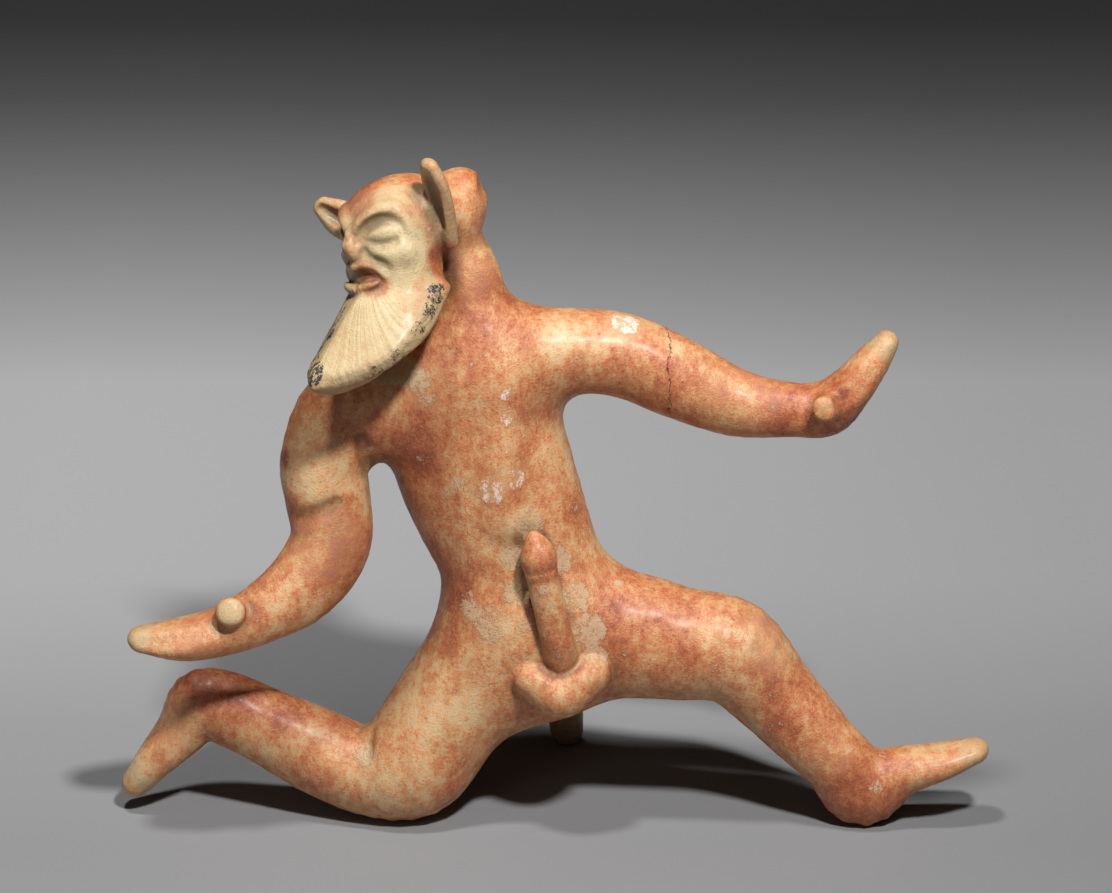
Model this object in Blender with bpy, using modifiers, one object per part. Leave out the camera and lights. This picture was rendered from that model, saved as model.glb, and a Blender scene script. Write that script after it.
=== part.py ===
"""Running satyr, a small solid terracotta figure built from rolled clay.

One piece: torso, limbs, head, beard, ears, tail and the small applied rolls are
smeared into each other, so the figure is a single solid. It stands on its bent
knee, its leading heel and the end of its tail. +X is the way it strides, the
viewer stands at -Y, +Z is up, and the origin is on the floor under the middle
of its box.
"""

import math

import bmesh
import bpy
import numpy as np
from mathutils import Matrix, Vector

# Driving sizes, in metres.
FIGURE_HEIGHT = 0.1134
TORSO_WIDTH = 0.0278
NECK_THICKNESS = 0.0166
TRAILING_ARM = 0.0164
LEADING_ARM = 0.0144
KNEELING_THIGH = 0.0208
STRIDING_THIGH = 0.0222
TAIL_THICKNESS = 0.0092
THUMB_THICKNESS = 0.0047
EAR_WIDTH = 0.0062
BEARD_WIDTH = 0.0184
REST_FLAT_DEPTH = 0.00025
SMEAR = 0.006
PRESSED_SEAM = 0.0012
ROUGH_MESH = 0.0008
SCULPT_MESH = 0.00055
TRIANGLES = 9400

# The pose is drawn in station units: each is a millimetre on a figure of the
# height above, and grows and shrinks with that height.
STATIONS_HIGH = 113.4
UNIT = FIGURE_HEIGHT / STATIONS_HIGH

CLAY_COLOUR = (0.62, 0.30, 0.15, 1.0)
STEPS_PER_STATION = 4
SECTION_POINTS = 24
CAP_RINGS = 5

PICTURE_DEPTH = Vector((0.0, 1.0, 0.0))


class Roll:
    """A roll of clay: a smooth spine with an oval section at each of its points.

    A station is (x, y, z, half width, half depth) in station units. The half
    sizes are only proportions when a thickness is given: the widest one is then
    half of that thickness. The width lies across the spine and the depth along
    `facing`, as near as the spine allows.
    """

    def __init__(self, stations, facing=PICTURE_DEPTH, thickness=None, power=2.0, smear=SMEAR,
                 cap=1.0, press=False):
        table = smooth_table(np.array(stations, float))
        self.spine = table[:, :3] * UNIT
        sizes = table[:, 3:]
        scale = UNIT if thickness is None else thickness / (2.0 * sizes[:, 0].max())
        self.sizes = sizes * scale
        self.power = power
        self.smear = smear
        self.cap = cap
        self.press = press
        along = np.gradient(self.spine, axis=0)
        self.along = along / np.linalg.norm(along, axis=1)[:, None]
        facing = np.array(facing, float)
        depth = facing - (self.along @ facing)[:, None] * self.along
        self.depth = depth / np.linalg.norm(depth, axis=1)[:, None]
        self.across = np.cross(self.depth, self.along)

    def tip(self, index):
        """How far the rounded end stands out beyond a station."""
        return self.cap * self.sizes[index].mean()

    def ring(self, index, share, shift):
        """One section's points, shrunk to `share` and moved `shift` along the spine."""
        width, depth = self.sizes[index] * share
        points = []
        for step in range(SECTION_POINTS):
            turn = 2.0 * math.pi * step / SECTION_POINTS
            c, s = math.cos(turn), math.sin(turn)
            size = (abs(c) ** self.power + abs(s) ** self.power) ** (-1.0 / self.power)
            points.append(
                self.spine[index]
                + self.along[index] * shift
                + self.across[index] * (width * c * size)
                + self.depth[index] * (depth * s * size)
            )
        return points

    def loft(self, mesh):
        """Adds the roll to a bmesh as a closed skin with rounded ends."""
        last = len(self.spine) - 1
        rings = []
        for step in range(CAP_RINGS, 0, -1):
            turn = 0.5 * math.pi * step / (CAP_RINGS + 0.5)
            rings.append(self.ring(0, math.cos(turn), -math.sin(turn) * self.tip(0)))
        rings += [self.ring(index, 1.0, 0.0) for index in range(last + 1)]
        for step in range(1, CAP_RINGS + 1):
            turn = 0.5 * math.pi * step / (CAP_RINGS + 0.5)
            rings.append(self.ring(last, math.cos(turn), math.sin(turn) * self.tip(last)))
        made = [[mesh.verts.new(point) for point in ring] for ring in rings]
        for first, second in zip(made, made[1:]):
            for n in range(SECTION_POINTS):
                m = (n + 1) % SECTION_POINTS
                mesh.faces.new((first[n], first[m], second[m], second[n]))
        mesh.faces.new(list(reversed(made[0])))
        mesh.faces.new(made[-1])

    def nearness(self, points):
        """How far each point is outside the roll, and the outward direction there."""
        best = np.full(len(points), 1.0)
        outward = np.zeros_like(points)
        reach = 1.1 * self.sizes.max() + 2.5 * self.smear
        low, high = self.spine.min(0) - reach, self.spine.max(0) + reach
        near = np.nonzero(((points > low) & (points < high)).all(1))[0]
        for n in range(len(self.spine) - 1):
            start, end = self.spine[n], self.spine[n + 1]
            step = end - start
            share = np.clip((points[near] - start) @ step / (step @ step), 0.0, 1.0)[:, None]
            offset = points[near] - start - share * step
            width, depth = (self.sizes[n] * (1 - share) + self.sizes[n + 1] * share).T
            tip = 0.5 * self.cap * (width + depth)
            parts = (offset @ self.across[n], offset @ self.depth[n], offset @ self.along[n])
            ratios = [np.abs(part) / size for part, size in zip(parts, (width, depth, tip))]
            p = self.power
            level = np.maximum(sum(ratio**p for ratio in ratios) ** (1.0 / p), 1e-6)
            slopes = [
                np.sign(part) * (ratio / level) ** (p - 1.0) / size
                for part, ratio, size in zip(parts, ratios, (width, depth, tip))
            ]
            slope = (
                slopes[0][:, None] * self.across[n]
                + slopes[1][:, None] * self.depth[n]
                + slopes[2][:, None] * self.along[n]
            )
            steepness = np.maximum(np.linalg.norm(slope, axis=1), 1e-6)
            value = (level - 1.0) / steepness
            closer = value < best[near]
            best[near[closer]] = value[closer]
            outward[near[closer]] = (slope / steepness[:, None])[closer]
        return best, outward


def on_floor(stations, thickness, resting):
    """Stations whose resting one keeps its underside on the floor at this thickness."""
    rows = np.array(stations, float)
    nominal = 2.0 * rows[:, 3].max() * UNIT
    rise = rows[resting, 3] * (thickness / nominal - 1.0)
    for n, row in enumerate(rows):
        row[2] += rise * max(0.0, 1.0 - abs(n - resting) / 3.0)
    return rows


def smooth_table(stations):
    """The stations joined by a smooth curve through each of them."""
    rows = []
    last = len(stations) - 1
    for n in range(last):
        before = stations[n - 1] if n else 2 * stations[0] - stations[1]
        start, end = stations[n], stations[n + 1]
        after = stations[n + 2] if n + 2 <= last else 2 * stations[last] - stations[last - 1]
        for step in range(STEPS_PER_STATION):
            t = step / STEPS_PER_STATION
            rows.append(
                0.5
                * (
                    2 * start
                    + (end - before) * t
                    + (2 * before - 5 * start + 4 * end - after) * t**2
                    + (3 * start - before - 3 * end + after) * t**3
                )
            )
    rows.append(stations[last])
    return np.array(rows)


def torso():
    return Roll(
        [
            (-3.4, 5.0, 27.0, 11.8, 9.6),
            (-4.2, 5.2, 35.4, 13.2, 10.2),
            (-6.2, 5.7, 45.2, 12.8, 9.8),
            (-10.1, 6.2, 55.6, 13.9, 9.6),
            (-12.9, 6.6, 65.4, 14.0, 9.4),
            (-13.2, 7.0, 74.3, 12.4, 8.6),
        ],
        thickness=TORSO_WIDTH,
    )


def breast_ridge():
    """The keel left down the front where the torso was pinched."""
    return Roll(
        [(-9.0, 0.4, 73.3, 2.4, 2.4), (-8.6, -0.9, 63.4, 2.6, 2.6), (-7.6, -1.1, 53.6, 2.4, 2.4)],
        smear=0.6 * SMEAR,
    )


def neck():
    """The neck runs on up into the knob that forms the back of the head."""
    return Roll(
        [
            (-13.2, 7.1, 76.2, 8.3, 7.4),
            (-13.4, 7.5, 84.6, 6.1, 6.4),
            (-13.7, 7.8, 91.5, 4.9, 5.4),
            (-15.6, 8.5, 97.9, 3.5, 4.6),
            (-14.9, 9.4, 103.8, 4.3, 4.5),
        ],
        thickness=NECK_THICKNESS,
    )


def leading_arm():
    """Flung out on the +X side, ending in a raised hand."""
    return Roll(
        [
            (-8.8, 7.2, 77.6, 7.2, 7.0),
            (2.2, 7.2, 78.6, 6.8, 6.8),
            (10.9, 7.2, 77.8, 6.7, 6.4),
            (19.6, 6.0, 74.3, 6.4, 6.0),
            (28.4, 4.9, 70.8, 5.4, 5.2),
            (37.0, 2.8, 70.3, 4.3, 4.5),
            (42.6, 1.9, 70.8, 4.4, 4.5),
            (46.0, 1.0, 74.1, 3.5, 4.7),
            (49.3, 1.2, 78.4, 2.8, 3.9),
            (51.7, 1.4, 81.7, 2.0, 2.6),
        ],
        thickness=LEADING_ARM,
    )


def trailing_arm():
    """Hangs down on the -X side, bent at the elbow, palm up."""
    return Roll(
        [
            (-22.0, 6.0, 72.9, 8.3, 7.4),
            (-32.4, 4.8, 69.3, 8.1, 7.0),
            (-36.8, 3.4, 61.7, 7.0, 6.6),
            (-36.3, 2.2, 55.3, 6.7, 6.2),
            (-35.9, 0.9, 48.8, 6.5, 6.2),
            (-40.2, -1.4, 42.3, 6.1, 5.6),
            (-46.9, -3.6, 38.1, 4.8, 5.0),
            (-53.5, -4.7, 35.5, 3.9, 4.7),
            (-59.9, -5.8, 34.6, 3.2, 4.9),
            (-65.3, -6.8, 35.0, 2.1, 3.6),
        ],
        thickness=TRAILING_ARM,
    )


def kneeling_leg():
    """The trailing leg: the thigh comes down to the knee and the shin folds back."""
    stations = [
        (-7.0, 5.0, 32.0, 10.4, 9.5),
        (-12.7, 4.0, 24.6, 10.2, 9.0),
        (-18.2, 3.0, 17.1, 9.7, 8.6),
        (-23.8, 2.0, 9.7, 9.3, 8.5),
        (-30.8, 2.6, 8.1, 7.4, 7.2),
        (-39.2, 4.0, 11.1, 7.0, 6.6),
        (-47.4, 5.0, 15.0, 6.2, 5.8),
        (-54.0, 6.0, 17.7, 6.0, 5.4),
        (-57.8, 6.0, 18.3, 5.6, 5.0),
        (-60.9, 6.0, 13.9, 4.3, 4.6),
        (-65.2, 5.0, 9.3, 3.2, 4.3),
        (-68.5, 5.0, 5.2, 2.4, 3.2),
    ]
    stations = on_floor(stations, KNEELING_THIGH, resting=3)
    return Roll(stations, thickness=KNEELING_THIGH)


def striding_leg():
    """The leading leg: thigh forward, knee bent, heel down and toes up."""
    stations = [
        (0.5, 5.0, 32.4, 11.2, 9.5),
        (10.3, 4.0, 31.6, 10.5, 9.0),
        (20.0, 3.0, 30.2, 9.3, 8.5),
        (28.2, 2.0, 29.3, 8.5, 8.0),
        (34.3, 2.0, 22.8, 7.1, 6.9),
        (40.1, 1.0, 16.7, 6.4, 6.2),
        (45.3, 0.0, 11.4, 5.8, 5.6),
        (50.0, 0.0, 6.3, 6.4, 5.4),
        (55.4, 0.0, 8.9, 4.2, 4.6),
        (62.3, 0.0, 10.8, 2.8, 4.6),
        (67.5, 0.0, 12.6, 1.9, 3.4),
    ]
    stations = on_floor(stations, STRIDING_THIGH, resting=7)
    return Roll(stations, thickness=STRIDING_THIGH)


def tail():
    """A stout tail that slopes back to the floor and props the figure."""
    stations = [
        (-1.0, 9.0, 30.0, 4.6, 4.6),
        (0.0, 16.0, 23.0, 4.2, 4.0),
        (1.0, 23.0, 14.5, 3.5, 3.3),
        (1.6, 28.5, 7.0, 3.0, 3.0),
        (1.9, 31.5, 2.8, 2.8, 2.8),
    ]
    stations = on_floor(stations, TAIL_THICKNESS, resting=4)
    return Roll(stations, facing=(1.0, 0.0, 0.0), thickness=TAIL_THICKNESS, smear=0.5 * SMEAR)


def thumbs():
    return [
        Roll([(-51.4, -4.6, 37.9, 2.3, 2.3), (-51.4, -8.5, 40.4, 2.2, 2.2)],
             facing=(1.0, 0.0, 0.0), thickness=THUMB_THICKNESS, smear=PRESSED_SEAM),
        Roll([(43.6, 0.4, 71.9, 2.1, 2.1), (42.0, -5.6, 73.5, 1.9, 1.9)],
             facing=(1.0, 0.0, 0.0), thickness=THUMB_THICKNESS, smear=PRESSED_SEAM),
    ]


def phallus():
    """Two applied lumps, as on many comic figures of the kind."""
    shaft = Roll(
        [
            (1.0, -4.5, 29.0, 3.0, 2.8),
            (0.4, -6.6, 33.9, 2.7, 2.6),
            (-1.0, -7.1, 40.8, 2.6, 2.6),
            (-2.2, -7.0, 46.5, 2.5, 2.5),
            (-2.6, -7.0, 48.1, 2.2, 2.2),
            (-2.9, -6.9, 49.5, 2.6, 2.6),
            (-3.4, -6.6, 51.6, 1.5, 1.5),
        ],
        smear=PRESSED_SEAM,
    )
    pouch = Roll(
        [(-2.4, -3.6, 27.6, 3.0, 3.8), (1.2, -4.4, 25.8, 3.8, 4.2), (5.0, -3.6, 28.2, 3.2, 3.9)],
        smear=PRESSED_SEAM,
    )
    return [shaft, pouch]


# The head turns to the viewer's left and leans that way.
HEAD_CENTRE = (-25.4, 2.2, 100.8)
HEAD_TURN = math.radians(50)
HEAD_LEAN = math.radians(15)


def head_axes():
    """Forward, left-ear and crown directions of the head."""
    forward = np.array((-math.sin(HEAD_TURN), -math.cos(HEAD_TURN), 0.0))
    level = np.array((math.cos(HEAD_TURN), -math.sin(HEAD_TURN), 0.0))
    up = np.array((0.0, 0.0, 1.0))
    side = level * math.cos(HEAD_LEAN) + up * math.sin(HEAD_LEAN)
    crown = up * math.cos(HEAD_LEAN) - level * math.sin(HEAD_LEAN)
    return forward, side, crown


def on_head(forward, side, crown):
    """A place given in station units from the head's centre."""
    axes = head_axes()
    place = np.array(HEAD_CENTRE) + forward * axes[0] + side * axes[1] + crown * axes[2]
    return tuple(place)


def head_roll(stations, facing=None, **kinds):
    """A roll whose stations are (forward, side, crown, half width, half depth)."""
    placed = [on_head(*row[:3]) + tuple(row[3:]) for row in stations]
    return Roll(placed, facing=head_axes()[0] if facing is None else facing, **kinds)


def skull():
    cranium = head_roll(
        [(-9.0, 1.0, 0.2, 6.0, 5.4), (-3.5, 0.0, 1.2, 7.9, 6.5), (0.4, 0.0, 1.1, 7.8, 6.4)],
        facing=head_axes()[2],
        smear=0.5 * SMEAR,
    )
    jaw = head_roll(
        [(0.6, 0.0, 0.0, 7.9, 7.1), (0.8, 0.0, -5.5, 7.8, 7.3), (0.6, 0.0, -10.0, 7.4, 6.6)],
        smear=0.3 * SMEAR,
        cap=0.35,
    )
    return [cranium, jaw]


def beard():
    """A thick spade of clay that juts forward from the jaw, arched along its middle."""
    _, side, crown = head_axes()
    slab = head_roll(
        [
            (0.3, 0.2, -11.8, 9.2, 2.5),
            (4.8, 0.2, -14.5, 9.1, 2.4),
            (9.4, 0.1, -17.1, 8.0, 2.2),
            (13.6, 0.0, -19.2, 6.0, 1.9),
            (17.6, 0.0, -20.3, 3.3, 1.5),
        ],
        facing=crown + 0.16 * side,
        thickness=BEARD_WIDTH,
        power=2.8,
        smear=1.6 * PRESSED_SEAM,
    )
    arch = head_roll(
        [
            (2.4, 1.0, -8.2, 7.0, 3.8),
            (6.2, 1.2, -11.4, 6.8, 3.8),
            (11.2, 0.6, -15.8, 6.2, 3.4),
            (15.4, 0.0, -18.3, 4.6, 2.6),
            (18.2, 0.0, -19.5, 2.6, 1.7),
        ],
        facing=crown + 0.16 * side,
        power=1.9,
        smear=0.65 * SMEAR,
    )
    return [slab, arch]


def face():
    """Brows, eye mounds, a snub nose with a broken tip, moustache, mouth and lip."""
    rolls = []
    for side in (-1.0, 1.0):
        brow = [
            (7.9, 1.6 * side, 0.7, 1.0, 1.0),
            (7.0, 3.5 * side, 2.2, 1.2, 1.2),
            (5.4, 5.4 * side, 2.8, 1.2, 1.2),
            (3.9, 6.7 * side, 1.8, 1.1, 1.1),
            (3.1, 7.4 * side, -0.4, 0.7, 0.7),
        ]
        socket = [
            (8.4, 2.1 * side, -0.6, 0.8, 0.8),
            (7.1, 5.0 * side, 0.8, 1.0, 1.0),
            (5.4, 7.1 * side, 0.7, 1.0, 1.0),
            (4.8, 7.9 * side, -1.2, 0.7, 0.7),
        ]
        eye = [(5.4, 4.1 * side, -0.9, 1.6, 1.5), (4.8, 4.8 * side, -0.9, 1.6, 1.5)]
        moustache = [
            (7.8, 0.0, -5.0, 1.2, 1.1),
            (6.8, 2.8 * side, -4.9, 1.2, 1.1),
            (5.9, 4.2 * side, -6.3, 1.1, 1.0),
            (5.6, 4.2 * side, -8.4, 0.7, 0.7),
        ]
        rolls.append(head_roll(brow, smear=PRESSED_SEAM))
        rolls.append(head_roll(socket, smear=PRESSED_SEAM, press=True))
        rolls.append(head_roll(eye, smear=0.8 * PRESSED_SEAM))
        rolls.append(head_roll(moustache, smear=0.5 * PRESSED_SEAM))
    nose = [(6.4, 0.0, -1.5, 1.4, 1.6), (8.2, 0.0, -1.6, 1.6, 1.5), (7.6, 0.0, -3.2, 2.5, 1.4)]
    lower_lip = [(6.2, -2.4, -8.1, 1.0, 1.0), (7.8, 0.0, -8.5, 1.1, 1.1), (6.2, 2.4, -8.1, 1.0, 1.0)]
    nose_root = [(8.7, -1.8, 0.3, 0.8, 0.8), (9.1, 0.0, 0.4, 0.9, 0.9), (8.7, 1.8, 0.3, 0.8, 0.8)]
    mouth = [(7.4, -3.1, -6.8, 0.8, 0.9), (9.0, 0.0, -6.8, 1.0, 1.1), (7.4, 3.1, -6.8, 0.8, 0.9)]
    under_lip = [(7.8, -2.4, -10.0, 0.8, 0.8), (9.3, 0.0, -10.2, 0.9, 0.9), (7.8, 2.4, -10.0, 0.8, 0.8)]
    rolls.append(head_roll(nose, smear=0.6 * PRESSED_SEAM, power=2.5))
    rolls.append(head_roll(nose_root, smear=0.6 * PRESSED_SEAM, press=True))
    rolls.append(head_roll(lower_lip, smear=0.6 * PRESSED_SEAM))
    rolls.append(head_roll(mouth, smear=0.6 * PRESSED_SEAM, press=True))
    rolls.append(head_roll(under_lip, smear=1.2 * PRESSED_SEAM, press=True))
    return rolls


def ears():
    """Pricked animal ears, each a folded leaf with a hollow pressed into its front."""
    forward, side, _ = head_axes()
    near_leaf = [
        (-5.2, 7.2, -3.9, 1.5, 1.3),
        (-4.2, 8.4, -0.5, 2.2, 1.5),
        (-3.2, 9.2, 3.0, 3.0, 1.6),
        (-1.9, 10.2, 6.4, 3.0, 1.5),
        (-0.8, 11.1, 8.8, 1.8, 1.2),
    ]
    near_hollow = [
        (-3.4, 8.6, -2.4, 0.5, 1.2),
        (-2.0, 9.6, 1.6, 0.7, 1.5),
        (-0.8, 10.6, 5.0, 0.7, 1.5),
        (0.2, 11.1, 7.6, 0.5, 1.0),
    ]
    far_leaf = [
        (-3.4, -7.8, -2.0, 2.4, 1.4),
        (-0.8, -10.4, 0.2, 3.1, 1.5),
        (1.0, -12.5, 2.0, 3.1, 1.4),
        (2.4, -14.2, 4.0, 1.9, 1.1),
    ]
    far_hollow = [
        (0.0, -9.3, -0.2, 1.1, 1.3),
        (2.0, -11.4, 1.8, 1.3, 1.4),
        (3.4, -13.4, 3.8, 0.8, 0.9),
    ]
    inward = forward + 0.4 * side
    return [
        head_roll(near_leaf, thickness=EAR_WIDTH, smear=PRESSED_SEAM),
        head_roll(near_hollow, smear=0.5 * PRESSED_SEAM, press=True),
        head_roll(far_leaf, facing=inward, thickness=EAR_WIDTH, smear=PRESSED_SEAM),
        head_roll(far_hollow, facing=inward, smear=0.5 * PRESSED_SEAM, press=True),
    ]


def all_rolls():
    """Every roll, in the order in which it is smeared on."""
    rolls = [torso(), breast_ridge(), neck(), leading_arm(), trailing_arm(), kneeling_leg()]
    rolls += [striding_leg(), tail(), *skull(), *beard(), *face(), *ears(), *thumbs()]
    return rolls + phallus()


def smeared(rolls, points):
    """How far each point is outside all the rolls together, and the outward direction."""
    total, outward = rolls[0].nearness(points)
    for roll in rolls[1:]:
        sign = -1.0 if roll.press else 1.0
        value, direction = roll.nearness(points)
        share = np.clip(0.5 + 0.5 * (sign * total - value) / roll.smear, 0.0, 1.0)
        total = total * (1 - share) + sign * (value - roll.smear * (1 - share)) * share
        outward = outward * (1 - share)[:, None] + sign * direction * share[:, None]
    return total, outward


def new_object(name, mesh):
    """Links a new object in the collection named for the whole figure."""
    made = bpy.data.objects.new(name, mesh)
    pieces = bpy.data.collections.new("running_satyr")
    bpy.context.scene.collection.children.link(pieces)
    pieces.objects.link(made)
    return made


def evaluated_mesh(made):
    """The object's mesh with its modifiers applied."""
    graph = bpy.context.evaluated_depsgraph_get()
    mesh = bpy.data.meshes.new_from_object(made.evaluated_get(graph))
    made.modifiers.clear()
    made.data = mesh
    return mesh


def rolled_clay(rolls):
    """All rolls as closed skins in one mesh, still apart where they meet."""
    mesh = bpy.data.meshes.new("clay")
    shape = bmesh.new()
    for roll in rolls:
        if not roll.press:
            roll.loft(shape)
    bmesh.ops.recalc_face_normals(shape, faces=shape.faces)
    shape.to_mesh(mesh)
    shape.free()
    return new_object("satyr_figure", mesh)


def one_skin(made, voxel):
    """Rebuilds the mesh as a single skin of even small faces."""
    remesh = made.modifiers.new("one skin", "REMESH")
    remesh.mode = "VOXEL"
    remesh.voxel_size = voxel
    evaluated_mesh(made)


def points_of(mesh):
    points = np.empty(len(mesh.vertices) * 3)
    mesh.vertices.foreach_get("co", points)
    return points.reshape(-1, 3)


def smear_joints(made, rolls, rounds):
    """Moves the skin to where the clay of neighbouring rolls runs together.

    Each round first evens out the skin along itself, so that a pressed groove
    gets as many faces as the clay around it.
    """
    points = points_of(made.data)
    edges = np.empty(len(made.data.edges) * 2, np.int32)
    made.data.edges.foreach_get("vertices", edges)
    ends = np.concatenate((edges[0::2], edges[1::2]))
    others = np.concatenate((edges[1::2], edges[0::2]))
    count = np.bincount(ends, minlength=len(points))[:, None]
    value, outward = smeared(rolls, points)
    for _ in range(rounds):
        steep = np.maximum((outward**2).sum(1), 0.2)[:, None]
        points = points - np.clip(value[:, None] / steep, -0.001, 0.001) * outward
        mean = np.stack([np.bincount(ends, points[others, n]) for n in range(3)], 1) / count
        pull = mean - points
        pull -= outward * ((pull * outward).sum(1)[:, None] / steep)
        points = points + 0.5 * pull
        value, outward = smeared(rolls, points)
    steep = np.maximum((outward**2).sum(1), 0.2)[:, None]
    points = points - np.clip(value[:, None] / steep, -0.001, 0.001) * outward
    made.data.vertices.foreach_set("co", points.ravel())
    made.data.update()


def simplify(made):
    """Thins the skin to the faces that its curves need."""
    made.data.calc_loop_triangles()
    decimate = made.modifiers.new("fewer faces", "DECIMATE")
    decimate.ratio = TRIANGLES / len(made.data.loop_triangles)
    evaluated_mesh(made)


def stand_on_floor(made):
    """Cuts small resting flats and puts the origin under the middle of the box."""
    shape = bmesh.new()
    shape.from_mesh(made.data)
    low = min(point.co.z for point in shape.verts)
    cut = bmesh.ops.bisect_plane(
        shape,
        geom=shape.verts[:] + shape.edges[:] + shape.faces[:],
        plane_co=(0.0, 0.0, low + REST_FLAT_DEPTH),
        plane_no=(0.0, 0.0, -1.0),
        clear_outer=True,
    )
    rim = [part for part in cut["geom_cut"] if isinstance(part, bmesh.types.BMEdge)]
    bmesh.ops.holes_fill(shape, edges=rim, sides=0)
    bmesh.ops.triangulate(shape, faces=shape.faces)
    shape.to_mesh(made.data)
    shape.free()
    points = points_of(made.data)
    low, high = points.min(0), points.max(0)
    middle = (low + high) / 2
    made.data.transform(Matrix.Translation((-middle[0], -middle[1], -low[2])))


def clay_material():
    material = bpy.data.materials.new("fired_clay")
    material.use_nodes = True
    shader = material.node_tree.nodes["Principled BSDF"]
    shader.inputs["Base Color"].default_value = CLAY_COLOUR
    shader.inputs["Roughness"].default_value = 0.62
    return material


def main():
    for old in list(bpy.data.objects):
        bpy.data.objects.remove(old)
    rolls = all_rolls()
    figure = rolled_clay(rolls)
    one_skin(figure, ROUGH_MESH)
    smear_joints(figure, rolls, 5)
    one_skin(figure, SCULPT_MESH)
    smear_joints(figure, rolls, 4)
    simplify(figure)
    stand_on_floor(figure)
    figure.data.materials.append(clay_material())


main()
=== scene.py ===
"""Running satyr: the looks of a small hand-rolled terracotta figure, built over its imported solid."""

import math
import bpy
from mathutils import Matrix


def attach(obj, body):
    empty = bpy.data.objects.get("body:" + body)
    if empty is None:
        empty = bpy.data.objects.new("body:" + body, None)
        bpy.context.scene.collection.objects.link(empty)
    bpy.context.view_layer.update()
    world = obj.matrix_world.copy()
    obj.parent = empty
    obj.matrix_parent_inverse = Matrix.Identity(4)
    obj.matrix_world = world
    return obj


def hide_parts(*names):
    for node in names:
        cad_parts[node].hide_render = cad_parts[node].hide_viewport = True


bl_info = {
    "name": "Running Satyr",
    "version": (1, 0, 0),
    "blender": (4, 5, 0),
    "location": "3D View > Sidebar > Running Satyr",
    "description": "Models and ages a small hand-rolled terracotta satyr, and sets it up for a photograph",
    "category": "Object",
}

import bpy
import numpy as np
from bpy.props import FloatProperty, FloatVectorProperty, PointerProperty
from mathutils import Vector

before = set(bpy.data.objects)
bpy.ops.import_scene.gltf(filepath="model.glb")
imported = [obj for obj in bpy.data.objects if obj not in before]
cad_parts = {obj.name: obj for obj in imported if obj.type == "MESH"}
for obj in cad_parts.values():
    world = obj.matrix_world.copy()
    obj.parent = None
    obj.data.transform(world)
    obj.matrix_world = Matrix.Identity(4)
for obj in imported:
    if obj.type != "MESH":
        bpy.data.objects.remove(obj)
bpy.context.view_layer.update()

MM = 0.001
# The rolls are written in millimetres from the point that the maker worked around,
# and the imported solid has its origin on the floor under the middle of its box.
TO_ROW = np.array((0.505, -8.655, -0.18))
# How far limbs, and small forms, are smeared into what they are pressed on, in millimetres.
SMEAR = 6.0
SEAM = 1.2
# The straight steps that stand for the curve between two stations.
STEPS_PER_STATION = 4
# A roll's depth is measured from front to back, unless it says otherwise.
FRONT_TO_BACK = (0.0, 1.0, 0.0)
# A distance that stands for nowhere near, in millimetres.
FAR = 99.0
# A stretch is tried on points this many half widths away, and a little more.
REACH = 1.2
REACH_MARGIN = 1.0
# The skin moves onto the clay by this at most in one round, in millimetres.
LONGEST_MOVE = 0.8
# Where rolls meet, their outward directions partly cancel, and this keeps the move in bounds.
LEAST_SLOPE = 0.2
# Keeps divisions sound in the very middle of a roll.
TINY = 1e-6
# The share of the way to the middle of its neighbours that a point slides in one round.
EVENING = 0.5
ROUGH_ROUNDS = 5
FINE_ROUNDS = 9


# The clay, as rolls that run into each other


class Roll:
    """A roll of clay: stations (x, y, z, half width, half depth) joined by a smooth curve."""

    def __init__(self, stations, facing=FRONT_TO_BACK, power=2.0, smear=SMEAR, cap=1.0, press=False):
        table = smooth_table(np.array(stations, float))
        self.spine = table[:, :3]
        self.sizes = table[:, 3:]
        self.power = power
        self.smear = smear
        self.cap = cap
        self.press = press
        along = np.gradient(self.spine, axis=0)
        self.along = along / np.linalg.norm(along, axis=1)[:, None]
        facing = np.array(facing, float)
        depth = facing - (self.along @ facing)[:, None] * self.along
        self.depth = depth / np.linalg.norm(depth, axis=1)[:, None]
        self.across = np.cross(self.depth, self.along)

    def gather(self, points):
        """Notes which points each short stretch of the roll can reach."""
        self.stretches = []
        touched = np.zeros(len(points), bool)
        for n in range(len(self.spine) - 1):
            reach = REACH * self.sizes[n : n + 2].max() + self.smear + REACH_MARGIN
            low = np.minimum(self.spine[n], self.spine[n + 1]) - reach
            high = np.maximum(self.spine[n], self.spine[n + 1]) + reach
            near = np.nonzero(((points > low) & (points < high)).all(1))[0]
            self.stretches.append(near)
            touched[near] = True
        self.touched = np.nonzero(touched)[0]

    def nearness(self, points):
        """How far points are outside the roll, and the outward direction there."""
        best = np.full(len(points), FAR)
        outward = np.zeros_like(points)
        for n, near in enumerate(self.stretches):
            start, step = self.spine[n], self.spine[n + 1] - self.spine[n]
            share = np.clip((points[near] - start) @ step / (step @ step), 0.0, 1.0)[:, None]
            offset = points[near] - start - share * step
            width, depth = (self.sizes[n] * (1 - share) + self.sizes[n + 1] * share).T
            halves = (width, depth, 0.5 * self.cap * (width + depth))
            sideways = (self.across, self.depth)
            axes = [turn[n] * (1 - share) + turn[n + 1] * share for turn in sideways]
            axes.append(np.broadcast_to(step / np.linalg.norm(step), offset.shape))
            parts = [(offset * axis).sum(1) for axis in axes]
            ratios = [np.abs(part) / half for part, half in zip(parts, halves)]
            p = self.power
            level = np.maximum(sum(ratio**p for ratio in ratios) ** (1.0 / p), TINY)
            slope = sum(
                (np.sign(part) * (ratio / level) ** (p - 1.0) / half)[:, None] * axis
                for part, ratio, half, axis in zip(parts, ratios, halves, axes)
            )
            steepness = np.maximum(np.linalg.norm(slope, axis=1), TINY)
            value = (level - 1.0) / steepness
            closer = value < best[near]
            best[near[closer]] = value[closer]
            outward[near[closer]] = (slope / steepness[:, None])[closer]
        return best[self.touched], outward[self.touched]


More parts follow.
